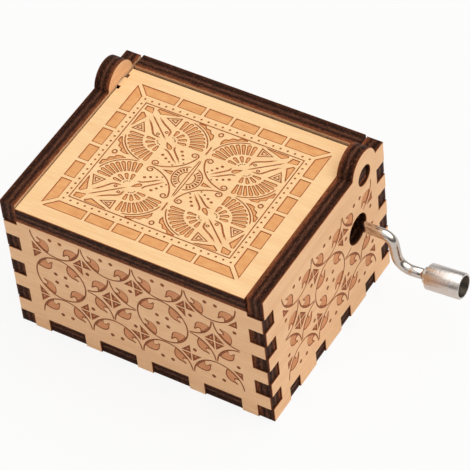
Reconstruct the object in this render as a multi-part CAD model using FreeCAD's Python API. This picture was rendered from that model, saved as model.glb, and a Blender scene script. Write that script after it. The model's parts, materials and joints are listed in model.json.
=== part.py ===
"""Hand-cranked music box: a finger-jointed plywood case with a hinged lid and an 18-note comb movement.

Frame: origin at the centre of the case's underside, +Z up, front towards -Y, crank towards +X.
All lengths are millimetres.
"""
import FreeCAD
import Part
import math
import os

V = FreeCAD.Vector
X_AXIS = V(1, 0, 0)
Y_AXIS = V(0, 1, 0)
Z_AXIS = V(0, 0, 1)

# ---------------------------------------------------------------- case
case_width = 64.0
case_depth = 51.2
ply = 3.8
rail_height = 37.7
joint_recess = 0.4            # how far each tab end lies inside the face it comes out of
first_finger = 3.9            # height of the lowest corner tab
finger_count = 7              # alternating tabs above the lowest one
corner_shoulder = 1.2         # front panel's top edge above its corner joints
front_leg = 4.0               # strips between the notches in the front and back panels' lower edge
front_notch_count = 4
side_notch = 4.05
side_leg = 6.85               # strips between the notches in the side panels' lower edge
side_notch_count = 4

# ---------------------------------------------------------------- lid and its hinge
lid_drop = 0.4                # lid surface below the rails
lid_side_gap = 0.3
lid_rest_gap = 0.05
pivot_setback = 8.8           # hinge axis ahead of the case's rear face
lid_tail = 4.4                # lid behind the hinge axis
tab_width = 2.9
tab_clearance = 0.05
tab_end_recess = 0.5
relief_length = 0.9           # little cuts beside each hinge tab
relief_depth = 0.5
lobe_radius = 4.9
lobe_rise = 4.3               # lobe top above the rail
back_end_gap = 0.5            # slot at each end of the back panel's raised edge

# ---------------------------------------------------------------- crank and knob
shaft_radius = 1.2
shaft_end = 0.6               # shaft past the inner bearing block
crank_hole_radius = 3.65
crank_hole_offset = 1.2       # shaft behind the hole's centre
elbow_reach = 7.6             # first bend's corner outside the right panel
arm_drop = 8.6
arm_slant = 8.0               # degrees away from plumb
grip_tilt = 5.0               # degrees above level
upper_bend = 2.6
lower_bend = 3.6
grip_reach = 6.5              # from the second corner to the washer, along the grip
knob_radius = 2.95
knob_length = 8.2
knob_wall = 0.5
knob_web = 1.2
stem_radius = 0.75
stem_clearance = 0.05
grip_washer_radius = 1.8
grip_washer_length = 0.8
knob_play = 0.12              # end play of the knob on its stem
end_washer_radius = 1.6
end_washer_thickness = 0.4
peened_head_radius = 1.15
peened_head_height = 0.5
rim_break = 0.2

# ---------------------------------------------------------------- worm drive
module = 0.5
wheel_teeth = 24
worm_pitch_radius = 2.3
addendum = 0.42
dedendum = 0.62
tooth_share = 0.40            # tooth thickness on the pitch line, as a share of the pitch
pressure_angle = 20.0
worm_turns = 4                # even, so that the thread is centred on the wheel
wheel_face = 3.0
worm_hub_wall = 0.5
thread_root = 0.2             # how far the thread is rooted in its sleeve

# ---------------------------------------------------------------- drum
drum_radius = 6.5
drum_wall = 0.8
drum_rise = 0.73              # pin tips above the bedplate
drum_to_wheel = 1.5           # drum's rear rim to the wheel's front face
cap_thickness = 0.8
cap_flange = 0.4
cap_step = 0.2                # flange inside the drum's outside
cap_spigot = 2.0
neck_step = 1.2               # gear's neck outside its hub
pin_radius = 0.16
pin_height = 0.42
pins_per_track = 5
beats = 60                    # pin rows round the drum
track_shift = 7               # beats between the first pins of neighbouring tracks
note_shift = 13               # beats between the pins of one track
note_swing = 4                # uneven steps between them, in beats
arbor_radius = 1.0
arbor_overhang = 1.4          # arbor past each bracket
end_play = 0.3
hub_radius = 2.4
clip_radius = 1.9
clip_thickness = 0.5
clip_mouth = 1.2

# ---------------------------------------------------------------- comb
tooth_pitch = 1.05
tooth_slot = 0.22
tooth_thickness = 0.6
comb_thickness = 1.6
comb_rim = 0.45               # solid steel beside the outer teeth
comb_length = 22.4
bass_tooth_length = 15.0
treble_tooth_length = 9.5
tip_clearance = 0.1           # tooth tips off the pin circle
weight_count = 6
weight_length = 3.0
weight_height = 1.2
weight_setback = 0.6
weight_step = 0.24            # each weight is this much shorter than the one before
strap_thickness = 0.6
strap_width = 5.0
comb_screw_inset = 3.9        # comb screws from the comb's sides

# ---------------------------------------------------------------- bedplate, brackets and screws
bed_thickness = 2.0
bed_foot_height = 1.0
bed_foot_radius = 3.2
bed_margin = 0.5              # plate outside the pieces that stand on it
bed_corner = 3.0
bed_side_gap = 2.28           # plate off the left panel
bed_front_gap = 4.8
bed_back_gap = 0.3
bed_screw_inset = 4.4
ledge_margin = 0.6
bracket_thickness = 1.2
bracket_width = 9.0
bracket_crown = 3.2           # metal around each bearing hole
front_foot = 4.6
rear_foot = 3.2
block_thickness = 3.4
block_crown = 1.2             # metal round the bush
block_width = 5.0
block_foot = 6.2
block_foot_thickness = 1.5
bush_wall = 0.7
running_clearance = 0.04
wheel_clearance = 0.7

wood_screw_radius = 1.0
wood_head_radius = 1.9
wood_head_height = 1.2
small_screw_radius = 0.8
small_head_radius = 1.5
small_head_height = 1.1
comb_screw_radius = 1.1
comb_head_radius = 2.0
comb_head_height = 1.4
screw_hole_clearance = 0.08
slot_width = 0.5
slot_depth = 0.5
cross_length = 2.3
pan_rounding = 0.45
screw_depth_left = 0.3        # plate left under a screw's tip
through = 1.0                 # how far a cutting tool runs past what it cuts

# ---------------------------------------------------------------- worked-out places
half_width = case_width / 2
half_depth = case_depth / 2
inner_x = half_width - ply
inner_y = half_depth - ply
lid_top = rail_height - lid_drop
lid_bottom = lid_top - ply
front_top = lid_bottom - lid_rest_gap
corner_top = front_top - corner_shoulder
finger_pitch = (corner_top - first_finger) / finger_count
pivot_y = half_depth - pivot_setback
pivot_z = lid_top - ply / 2
tab_radius = math.hypot(tab_width, ply) / 2
pivot_hole_radius = tab_radius + tab_clearance
lobe_centre_z = rail_height + lobe_rise - lobe_radius
front_notch = (case_width - 2 * ply - (front_notch_count + 1) * front_leg) / front_notch_count

bed_bottom = ply + bed_foot_height
bed_top = bed_bottom + bed_thickness
bed_left = -inner_x + bed_side_gap
bed_front = -inner_y + bed_front_gap
bed_back = inner_y - bed_back_gap

pin_circle = drum_radius + pin_height
comb_back_x = bed_left + bed_margin
comb_tip_x = comb_back_x + comb_length
drum_x = comb_tip_x + tip_clearance + pin_circle
drum_z = bed_top + drum_rise + pin_circle
wheel_pitch_radius = module * wheel_teeth / 2
wheel_tip_radius = wheel_pitch_radius + addendum
shaft_height = drum_z + wheel_pitch_radius + worm_pitch_radius

front_bracket_y = bed_front + bed_margin + front_foot + bracket_thickness
rear_bracket_y = bed_back - bed_margin - rear_foot - bracket_thickness
wheel_back = rear_bracket_y - end_play - cap_thickness
wheel_front = wheel_back - wheel_face
shaft_y = (wheel_front + wheel_back) / 2
drum_front = front_bracket_y + end_play + cap_thickness
drum_back = wheel_front - drum_to_wheel
drum_length = drum_back - drum_front

tooth_count = math.floor((drum_length - 2 * comb_rim) / tooth_pitch)
comb_y = (drum_front + drum_back) / 2
comb_width = tooth_count * tooth_pitch + 2 * comb_rim
comb_bottom = drum_z - tooth_thickness / 2
comb_top = comb_bottom + comb_thickness
comb_body_front = comb_tip_x - bass_tooth_length
comb_screw_x = comb_back_x + ledge_margin + strap_width / 2

inner_block_x = drum_x - wheel_tip_radius - wheel_clearance - block_thickness
outer_block_x = drum_x + wheel_tip_radius + wheel_clearance
bed_right = outer_block_x + block_thickness + block_foot + bed_margin
screw_tip_z = bed_bottom + screw_depth_left


# ---------------------------------------------------------------- small builders
def box(x0, x1, y0, y1, z0, z1):
    return Part.makeBox(x1 - x0, y1 - y0, z1 - z0, V(x0, y0, z0))


def rod(radius, start, along, length):
    return Part.makeCylinder(radius, length, start, along)


def drill(radius, start, along, length):
    """Cutting rod that runs past both ends of the stretch it is given."""
    return rod(radius, start - along * through, along, length + 2 * through)


def fused(shapes):
    whole = shapes[0].fuse(shapes[1:]) if len(shapes) > 1 else shapes[0]
    return whole.removeSplitter()


def prism(points, along):
    wire = Part.makePolygon(points + [points[0]])
    return Part.Face(wire).extrude(along)


def save(name, solids):
    shape = solids[0] if len(solids) == 1 else Part.makeCompound(solids)
    for solid in shape.Solids:
        if not solid.isValid():
            raise ValueError("invalid solid in " + name)
    print(name, len(shape.Solids), round(shape.Volume, 2))
    shape.exportStep("parts/" + name + ".step")


def finger_spans(own_parity):
    """Heights of the corner tabs that belong to one panel: parity 0 for front and back, 1 for the sides."""
    return [
        (first_finger + k * finger_pitch, first_finger + (k + 1) * finger_pitch)
        for k in range(finger_count)
        if k % 2 == own_parity
    ]


def front_notches():
    start = -half_width + ply + front_leg
    step = front_notch + front_leg
    return [(start + k * step, start + k * step + front_notch) for k in range(front_notch_count)]


def side_notches():
    length = side_notch_count * side_notch + (side_notch_count - 1) * side_leg
    step = side_notch + side_leg
    return [(-length / 2 + k * step, -length / 2 + k * step + side_notch) for k in range(side_notch_count)]


# ---------------------------------------------------------------- case panels
def cross_panel(outer_y, inner_y_face, top, end_gap):
    """Front or back panel, between two Y planes, with its corner tabs and lower notches."""
    y0 = min(outer_y, inner_y_face)
    y1 = max(outer_y, inner_y_face)
    pieces = [box(-inner_x, inner_x, y0, y1, 0, corner_top)]
    pieces.append(box(-inner_x + end_gap, inner_x - end_gap, y0, y1, corner_top, top))
    for z0, z1 in finger_spans(0):
        pieces.append(box(-half_width + joint_recess, half_width - joint_recess, y0, y1, z0, z1))
    panel = fused(pieces)
    notches = [box(x0, x1, y0 - through, y1 + through, -through, ply) for x0, x1 in front_notches()]
    return panel.cut(notches)


def side_panel(inner_face, outer_face):
    """Left or right panel: rail, hinge lobe, corner tabs and lower notches."""
    x0 = min(inner_face, outer_face)
    x1 = max(inner_face, outer_face)
    reach = half_depth - joint_recess
    pieces = [box(x0, x1, -inner_y, inner_y, 0, rail_height)]
    pieces.append(box(x0, x1, -reach, reach, 0, first_finger))
    pieces.append(box(x0, x1, -reach, reach, corner_top, rail_height))
    for z0, z1 in finger_spans(1):
        pieces.append(box(x0, x1, -reach, reach, z0, z1))
    pieces.append(rod(lobe_radius, V(x0, pivot_y, lobe_centre_z), X_AXIS, x1 - x0))
    panel = fused(pieces)
    tools = [box(x0 - through, x1 + through, y0, y1, -through, ply) for y0, y1 in side_notches()]
    tools.append(drill(pivot_hole_radius, V(x0, pivot_y, pivot_z), X_AXIS, x1 - x0))
    return panel.cut(tools)


def bottom_panel():
    pieces = [box(-inner_x, inner_x, -inner_y, inner_y, 0, ply)]
    reach_y = half_depth - joint_recess
    reach_x = half_width - joint_recess
    for x0, x1 in front_notches():
        pieces.append(box(x0, x1, -reach_y, reach_y, 0, ply))
    for y0, y1 in side_notches():
        pieces.append(box(-reach_x, reach_x, y0, y1, 0, ply))
    panel = fused(pieces)
    tools = []
    for x, y in bed_screw_places():
        tools.append(drill(wood_screw_radius + screw_hole_clearance, V(x, y, 0), Z_AXIS, ply))
        tools.append(Part.makeCone(wood_head_radius, wood_screw_radius, wood_head_height, V(x, y, 0)))
    return panel.cut(tools)


def lid():
    """Flat board with a square tab on each side, small reliefs beside the tabs."""
    side = inner_x - lid_side_gap
    tail_y = pivot_y + lid_tail
    board = box(-side, side, -half_depth, tail_y, lid_bottom, lid_top)
    tab_reach = half_width - tab_end_recess
    tab = box(-tab_reach, tab_reach, pivot_y - tab_width / 2, pivot_y + tab_width / 2, lid_bottom, lid_top)
    board = fused([board, tab])
    reliefs = []
    low = lid_bottom - through
    high = lid_top + through
    for sign in (-1, 1):
        x0 = min(sign * (side - relief_depth), sign * (side + through))
        x1 = max(sign * (side - relief_depth), sign * (side + through))
        near = pivot_y - tab_width / 2
        far = pivot_y + tab_width / 2
        reliefs.append(box(x0, x1, near - relief_length, near, low, high))
        reliefs.append(box(x0, x1, far, far + relief_length, low, high))
    return board.cut(reliefs)


# ---------------------------------------------------------------- bedplate and brackets
def bed_screw_places():
    xs = (bed_left + bed_screw_inset, bed_right - bed_screw_inset)
    ys = (bed_front + bed_screw_inset, bed_back - bed_screw_inset)
    return [(x, y) for x in xs for y in ys]


def comb_screw_places():
    reach = comb_width / 2 - comb_screw_inset
    return [(comb_screw_x, comb_y - reach), (comb_screw_x, comb_y + reach)]


def bracket_screw_places():
    """Drum brackets first, then the two crank bearing blocks."""
    front = (drum_x, front_bracket_y - bracket_thickness - front_foot / 2)
    rear = (drum_x, rear_bracket_y + bracket_thickness + rear_foot / 2)
    inner = (inner_block_x - block_foot / 2, shaft_y)
    outer = (outer_block_x + block_thickness + block_foot / 2, shaft_y)
    return [front, rear, inner, outer]


def bedplate():
    plate = box(bed_left, bed_right, bed_front, bed_back, bed_bottom, bed_top)
    uprights = [e for e in plate.Edges if abs(e.tangentAt(e.FirstParameter).z) > 0.9]
    plate = plate.makeFillet(bed_corner, uprights)
    pieces = [plate]
    for x, y in bed_screw_places():
        pieces.append(rod(bed_foot_radius, V(x, y, ply), Z_AXIS, bed_foot_height))
    ledge_front = comb_body_front - ledge_margin
    ledge_side = comb_width / 2
    ledge_y = comb_y - ledge_side
    pieces.append(box(comb_back_x, ledge_front, ledge_y, ledge_y + comb_width, bed_top, comb_bottom))
    bed = fused(pieces)
    tools = []
    for x, y in bed_screw_places():
        tools.append(rod(wood_screw_radius, V(x, y, 0), Z_AXIS, bed_top - screw_depth_left))
    for x, y in bracket_screw_places():
        tools.append(rod(small_screw_radius, V(x, y, screw_tip_z), Z_AXIS, bed_thickness))
    for x, y in comb_screw_places():
        tools.append(rod(comb_screw_radius, V(x, y, screw_tip_z), Z_AXIS, comb_bottom - bed_bottom))
    return bed.cut(tools)


def drum_bracket(inner_face, outward, foot):
    """Folded strip: an upright with the arbor's hole and a foot that lies on the bedplate."""
    outer_face = inner_face + outward * bracket_thickness
    y0 = min(inner_face, outer_face)
    x0 = drum_x - bracket_width / 2
    x1 = drum_x + bracket_width / 2
    upright = box(x0, x1, y0, y0 + bracket_thickness, bed_top, drum_z)
    crown_radius = arbor_radius + bracket_crown
    crown = rod(crown_radius, V(drum_x, y0, drum_z), Y_AXIS, bracket_thickness)
    foot_end = outer_face + outward * foot
    foot_y0 = min(outer_face, foot_end)
    pad = box(x0, x1, foot_y0, foot_y0 + foot, bed_top, bed_top + bracket_thickness)
    bracket = fused([upright, crown, pad])
    hole_radius = arbor_radius + running_clearance
    hole = drill(hole_radius, V(drum_x, y0, drum_z), Y_AXIS, bracket_thickness)
    screw_y = outer_face + outward * foot / 2
    screw_radius = small_screw_radius + screw_hole_clearance
    screw_hole = drill(screw_radius, V(drum_x, screw_y, bed_top), Z_AXIS, bracket_thickness)
    return bracket.cut([hole, screw_hole])


def bearing_block(x0, foot_side):
    """Cast pillar that carries one end of the crank shaft, with a screwed foot."""
    x1 = x0 + block_thickness
    half = block_width / 2
    pillar = box(x0, x1, shaft_y - half, shaft_y + half, bed_top, shaft_height)
    head_radius = shaft_radius + bush_wall + block_crown
    head = rod(head_radius, V(x0, shaft_y, shaft_height), X_AXIS, block_thickness)
    foot_x0 = x1 if foot_side > 0 else x0 - block_foot
    foot_top = bed_top + block_foot_thickness
    foot = box(foot_x0, foot_x0 + block_foot, shaft_y - half, shaft_y + half, bed_top, foot_top)
    block = fused([pillar, head, foot])
    bore = drill(shaft_radius + bush_wall, V(x0, shaft_y, shaft_height), X_AXIS, block_thickness)
    screw_x = foot_x0 + block_foot / 2
    screw_radius = small_screw_radius + screw_hole_clearance
    screw_hole = drill(screw_radius, V(screw_x, shaft_y, bed_top), Z_AXIS, block_foot_thickness)
    return block.cut([bore, screw_hole])


def bush(x0):
    """Sintered bush pressed into a bearing block."""
    outer = rod(shaft_radius + bush_wall, V(x0, shaft_y, shaft_height), X_AXIS, block_thickness)
    bore_radius = shaft_radius + running_clearance
    return outer.cut(drill(bore_radius, V(x0, shaft_y, shaft_height), X_AXIS, block_thickness))


# ---------------------------------------------------------------- screws
def pan_screw(x, y, seat_z, head_radius, head_height, radius, tip_z):
    head = rod(head_radius, V(x, y, seat_z), Z_AXIS, head_height)
    top_z = seat_z + head_height
    rim = [e for e in head.Edges if e.Closed and e.CenterOfMass.z > top_z - pan_rounding]
    head = head.makeFillet(pan_rounding, rim)
    shank = rod(radius, V(x, y, tip_z), Z_AXIS, seat_z - tip_z)
    half = slot_width / 2
    slot = box(x - head_radius, x + head_radius, y - half, y + half, top_z - slot_depth, top_z + through)
    return fused([head, shank]).cut(slot)


def wood_screw(x, y):
    head = Part.makeCone(wood_head_radius, wood_screw_radius, wood_head_height, V(x, y, 0))
    tip_z = bed_top - screw_depth_left
    shank = rod(wood_screw_radius, V(x, y, wood_head_height), Z_AXIS, tip_z - wood_head_height)
    arm = cross_length / 2
    half = slot_width / 2
    cross = [
        box(x - arm, x + arm, y - half, y + half, -through, slot_depth),
        box(x - half, x + half, y - arm, y + arm, -through, slot_depth),
    ]
    return fused([head, shank]).cut(cross)


# ---------------------------------------------------------------- comb
def tooth_length(index):
    share = index / (tooth_count - 1)
    return bass_tooth_length + (treble_tooth_length - bass_tooth_length) * share


def comb():
    """Steel comb: thick body, thin teeth in one plane, a slot between neighbours."""
    y0 = comb_y - comb_width / 2
    y1 = comb_y + comb_width / 2
    body_outline = [
        V(comb_back_x, y0, comb_bottom),
        V(comb_tip_x - bass_tooth_length, y0, comb_bottom),
        V(comb_tip_x - treble_tooth_length, y1, comb_bottom),
        V(comb_back_x, y1, comb_bottom),
    ]
    body = prism(body_outline, V(0, 0, comb_thickness))
    teeth = box(comb_back_x, comb_tip_x, y0, y1, comb_bottom, comb_bottom + tooth_thickness)
    steel = fused([body, teeth])
    tools = []
    for k in range(tooth_count + 1):
        slot_y = y0 + comb_rim + k * tooth_pitch
        root_x = comb_tip_x - tooth_length(min(max(k - 0.5, 0), tooth_count - 1))
        low = y0 - through if k == 0 else slot_y - tooth_slot / 2
        high = y1 + through if k == tooth_count else slot_y + tooth_slot / 2
        tools.append(box(root_x, comb_tip_x + through, low, high, comb_bottom - through, comb_top + through))
    for x, y in comb_screw_places():
        hole_radius = comb_screw_radius + screw_hole_clearance
        tools.append(drill(hole_radius, V(x, y, comb_bottom), Z_AXIS, comb_thickness))
    return steel.cut(tools)


def tuning_weights():
    """Lead blocks soldered under the long bass teeth."""
    blocks = []
    for k in range(weight_count):
        y = comb_y - comb_width / 2 + comb_rim + (k + 0.5) * tooth_pitch
        half = (tooth_pitch - tooth_slot) / 2
        front = comb_tip_x - weight_setback
        back = front - weight_length + k * weight_step
        blocks.append(box(back, front, y - half, y + half, comb_bottom - weight_height, comb_bottom))
    return blocks


def comb_strap():
    """Brass strip under the comb screws' heads."""
    y0 = comb_y - comb_width / 2
    x0 = comb_back_x + ledge_margin
    strip = box(x0, x0 + strap_width, y0, y0 + comb_width, comb_top, comb_top + strap_thickness)
    holes = [
        drill(comb_screw_radius + screw_hole_clearance, V(x, y, comb_top), Z_AXIS, strap_thickness)
        for x, y in comb_screw_places()
    ]
    return strip.cut(holes)


# ---------------------------------------------------------------- drum
def drum_tube(pin_tools):
    outer = rod(drum_radius, V(drum_x, drum_front, drum_z), Y_AXIS, drum_length)
    inner = drill(drum_radius - drum_wall, V(drum_x, drum_front, drum_z), Y_AXIS, drum_length)
    return outer.cut([inner] + pin_tools)


def pin_places():
    """Angle and Y of every pin: the same few notes on each track, shifted from track to track."""
    places = []
    for track in range(tooth_count):
        y = comb_y - comb_width / 2 + comb_rim + (track + 0.5) * tooth_pitch
        for note in range(pins_per_track):
            swing = track * note % note_swing
            beat = (track * track_shift + note * note_shift + swing) % beats
            places.append((360 * (beat + 0.5) / beats, y))
    return places


def drum_pins():
    pins = []
    for angle, y in pin_places():
        radial = V(-math.cos(math.radians(angle)), 0, math.sin(math.radians(angle)))
        start = V(drum_x, y, drum_z) + radial * (drum_radius - drum_wall)
        pins.append(rod(pin_radius, start, radial, drum_wall + pin_height))
    return pins


def drum_cap():
    """Front end plate: a spigot in the tube, a flange on its rim and a hub towards the bracket."""
    y0 = drum_front - cap_thickness
    flange = rod(drum_radius - cap_step, V(drum_x, drum_front - cap_flange, drum_z), Y_AXIS, cap_flange)
    hub = rod(hub_radius, V(drum_x, y0, drum_z), Y_AXIS, cap_thickness)
    spigot = rod(drum_radius - drum_wall, V(drum_x, drum_front, drum_z), Y_AXIS, cap_spigot)
    bore = drill(arbor_radius, V(drum_x, y0, drum_z), Y_AXIS, cap_thickness + cap_spigot)
    return fused([flange, hub, spigot]).cut(bore)


def wheel_profile(turn, y):
    """Closed outline of the wheel at one Y plane, with a tooth gap on top at turn zero."""
    pitch_angle = 2 * math.pi / wheel_teeth
    half_pitch_tooth = tooth_share * math.pi * module / 2
    flare = math.tan(math.radians(pressure_angle))
    stations = (
        (wheel_pitch_radius - dedendum, half_pitch_tooth + dedendum * flare),
        (wheel_pitch_radius + addendum, half_pitch_tooth - addendum * flare),
    )
    points = []
    for k in range(wheel_teeth):
        centre = (k + 0.5) * pitch_angle + turn
        for radius, half in stations:
            angle = centre - half / radius
            points.append(V(drum_x + radius * math.sin(angle), y, drum_z + radius * math.cos(angle)))
        for radius, half in reversed(stations):
            angle = centre + half / radius
            points.append(V(drum_x + radius * math.sin(angle), y, drum_z + radius * math.cos(angle)))
    return Part.makePolygon(points + [points[0]])


def drum_gear():
    """Worm wheel with slanted teeth, its web, rear hub and the spigot that closes the drum."""
    lead_slope = module / (2 * worm_pitch_radius)
    half_twist = wheel_face / 2 * lead_slope / wheel_pitch_radius
    front = wheel_profile(-half_twist, wheel_front)
    back = wheel_profile(half_twist, wheel_back)
    teeth = Part.makeLoft([front, back], True, True)
    neck = rod(drum_radius - drum_wall, V(drum_x, drum_back - cap_spigot, drum_z), Y_AXIS, cap_spigot)
    collar = rod(hub_radius + neck_step, V(drum_x, drum_back, drum_z), Y_AXIS, drum_to_wheel)
    hub = rod(hub_radius, V(drum_x, wheel_back, drum_z), Y_AXIS, cap_thickness)
    wheel = fused([teeth, neck, collar, hub])
    bore_start = drum_back - cap_spigot
    bore_end = wheel_back + cap_thickness
    return wheel.cut(drill(arbor_radius, V(drum_x, bore_start, drum_z), Y_AXIS, bore_end - bore_start))


def arbor_ends():
    start = front_bracket_y - bracket_thickness - arbor_overhang
    end = rear_bracket_y + bracket_thickness + arbor_overhang
    return start, end


def drum_arbor():
    start, end = arbor_ends()
    return rod(arbor_radius, V(drum_x, start, drum_z), Y_AXIS, end - start)


def arbor_clips():
    """Snap rings on both ends of the arbor, outside the brackets."""
    clips = []
    for face, outward in ((front_bracket_y - bracket_thickness, -1), (rear_bracket_y + bracket_thickness, 1)):
        near = face + outward * end_play
        y0 = min(near, near + outward * clip_thickness)
        ring = rod(clip_radius, V(drum_x, y0, drum_z), Y_AXIS, clip_thickness)
        bore = drill(arbor_radius, V(drum_x, y0, drum_z), Y_AXIS, clip_thickness)
        x0 = drum_x - clip_mouth / 2
        x1 = drum_x + clip_mouth / 2
        y1 = y0 + clip_thickness
        mouth = box(x0, x1, y0 - through, y1 + through, drum_z - clip_radius - through, drum_z)
        clips.append(ring.cut([bore, mouth]))
    return clips


# ---------------------------------------------------------------- worm
def worm():
    """Long sleeve on the crank shaft with a right-hand single thread over the wheel.

    Built along Z, then laid along X so that a thread crest sits in the wheel's top gap.
    """
    pitch = module * math.pi
    sleeve_radius = shaft_radius + worm_hub_wall
    hub_x0 = inner_block_x + block_thickness + end_play
    hub_x1 = outer_block_x - end_play
    half_pitch_thread = tooth_share * pitch / 2
    flare = math.tan(math.radians(pressure_angle))
    root = sleeve_radius - thread_root
    tip = worm_pitch_radius + addendum
    root_half = half_pitch_thread + (worm_pitch_radius - root) * flare
    tip_half = half_pitch_thread - addendum * flare
    length = (worm_turns + 2) * pitch
    helix = Part.makeHelix(pitch, length, worm_pitch_radius)
    outline = [V(root, 0, -root_half), V(tip, 0, -tip_half), V(tip, 0, tip_half), V(root, 0, root_half)]
    section = Part.makePolygon(outline + [outline[0]])
    thread = Part.Wire(helix.Edges).makePipeShell([section], True, True)
    thread.translate(V(0, 0, -length / 2))
    hub = rod(sleeve_radius, V(0, 0, hub_x0 - drum_x), Z_AXIS, hub_x1 - hub_x0)
    trim = rod(tip + through, V(0, 0, -worm_turns * pitch / 2), Z_AXIS, worm_turns * pitch)
    whole = hub.fuse(thread.common(trim))
    whole = whole.cut(drill(shaft_radius, V(0, 0, hub_x0 - drum_x), Z_AXIS, hub_x1 - hub_x0))
    whole.rotate(V(0, 0, 0), Y_AXIS, 90)
    whole.translate(V(drum_x, shaft_y, shaft_height))
    return whole


# ---------------------------------------------------------------- crank and knob
def crank_geometry():
    """Corner points of the bent rod and the grip's direction."""
    start = V(inner_block_x - shaft_end, shaft_y, shaft_height)
    upper = V(half_width + elbow_reach, shaft_y, shaft_height)
    lower = V(upper.x + arm_drop * math.tan(math.radians(arm_slant)), shaft_y, shaft_height - arm_drop)
    tilt = math.radians(grip_tilt)
    grip = V(math.cos(tilt), 0, math.sin(tilt))
    end = lower + grip * grip_reach
    return start, upper, lower, end, grip


def bend_arc(before, corner, after, radius):
    """Arc of the given radius that rounds a corner, and its two tangent points."""
    to_before = (before - corner).normalize()
    to_after = (after - corner).normalize()
    angle = to_before.getAngle(to_after)
    setback = radius / math.tan(angle / 2)
    first = corner + to_before * setback
    last = corner + to_after * setback
    bisector = (to_before + to_after).normalize()
    centre = corner + bisector * (radius / math.sin(angle / 2))
    middle = centre - bisector * radius
    return first, middle, last


def crank():
    start, upper, lower, end, grip = crank_geometry()
    a1, m1, b1 = bend_arc(start, upper, lower, upper_bend)
    a2, m2, b2 = bend_arc(upper, lower, end, lower_bend)
    path = Part.Wire([
        Part.LineSegment(start, a1).toShape(),
        Part.Arc(a1, m1, b1).toShape(),
        Part.LineSegment(b1, a2).toShape(),
        Part.Arc(a2, m2, b2).toShape(),
        Part.LineSegment(b2, end).toShape(),
    ])
    section = Part.Wire([Part.makeCircle(shaft_radius, start, X_AXIS)])
    bar = path.makePipeShell([section], True, True)
    stem_end = grip_washer_length + knob_play + knob_web + knob_play + end_washer_thickness
    stem = rod(stem_radius, end, grip, stem_end)
    head = rod(peened_head_radius, end + grip * stem_end, grip, peened_head_height)
    return fused([bar, stem, head])


def knob_pieces():
    """Washer at the shoulder, the sleeve and the washer under the peened head."""
    start, upper, lower, end, grip = crank_geometry()
    washer = rod(grip_washer_radius, end, grip, grip_washer_length)
    washer = washer.cut(drill(stem_radius, end, grip, grip_washer_length))
    sleeve_start = end + grip * (grip_washer_length + knob_play)
    sleeve = rod(knob_radius, sleeve_start, grip, knob_length)
    rims = [e for e in sleeve.Edges if e.Curve.TypeId == "Part::GeomCircle"]
    sleeve = sleeve.makeChamfer(rim_break, rims)
    hollow = rod(knob_radius - knob_wall, sleeve_start + grip * knob_web, grip, knob_length)
    bore = drill(stem_radius + stem_clearance, sleeve_start, grip, knob_web)
    sleeve = sleeve.cut([hollow, bore])
    cap_start = sleeve_start + grip * (knob_web + knob_play)
    end_washer = rod(end_washer_radius, cap_start, grip, end_washer_thickness)
    end_washer = end_washer.cut(drill(stem_radius, cap_start, grip, end_washer_thickness))
    return washer, sleeve, end_washer


# ---------------------------------------------------------------- write every node
os.makedirs("parts", exist_ok=True)

crank_opening = drill(
    crank_hole_radius, V(inner_x, shaft_y - crank_hole_offset, shaft_height), X_AXIS, ply
)
save("bottom_panel", [bottom_panel()])
save("front_panel", [cross_panel(-half_depth, -inner_y, front_top, 0)])
save("back_panel", [cross_panel(half_depth, inner_y, rail_height, back_end_gap)])
save("left_panel", [side_panel(-inner_x, -half_width)])
save("right_panel", [side_panel(inner_x, half_width).cut(crank_opening)])
save("lid", [lid()])

save("bedplate", [bedplate()])
save("bed_screws", [wood_screw(x, y) for x, y in bed_screw_places()])
save("front_drum_bracket", [drum_bracket(front_bracket_y, -1, front_foot)])
save("rear_drum_bracket", [drum_bracket(rear_bracket_y, 1, rear_foot)])
save("inner_bearing_block", [bearing_block(inner_block_x, -1)])
save("outer_bearing_block", [bearing_block(outer_block_x, 1)])
save("shaft_bushes", [bush(inner_block_x), bush(outer_block_x)])
bracket_seats = [bed_top + bracket_thickness] * 2 + [bed_top + block_foot_thickness] * 2
save("bracket_screws", [
    pan_screw(x, y, seat, small_head_radius, small_head_height, small_screw_radius, screw_tip_z)
    for (x, y), seat in zip(bracket_screw_places(), bracket_seats)
])

save("comb", [comb()])
save("tuning_weights", tuning_weights())
save("comb_strap", [comb_strap()])
strap_top = comb_top + strap_thickness
save("comb_screws", [
    pan_screw(x, y, strap_top, comb_head_radius, comb_head_height, comb_screw_radius, screw_tip_z)
    for x, y in comb_screw_places()
])

pins = drum_pins()
save("drum_tube", [drum_tube(pins)])
save("drum_pins", pins)
save("drum_cap", [drum_cap()])
save("drum_gear", [drum_gear()])
save("drum_arbor", [drum_arbor()])
save("arbor_clips", arbor_clips())

save("crank", [crank()])
save("worm", [worm()])
grip_washer, knob_sleeve, end_washer = knob_pieces()
save("grip_washer", [grip_washer])
save("knob_sleeve", [knob_sleeve])
save("knob_end_washer", [end_washer])
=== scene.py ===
"""Looks of the hand-cranked music box: engraved plywood case, polished crank and comb movement."""

import json
import math

import bmesh
import bpy
from mathutils import Matrix, Vector


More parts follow.
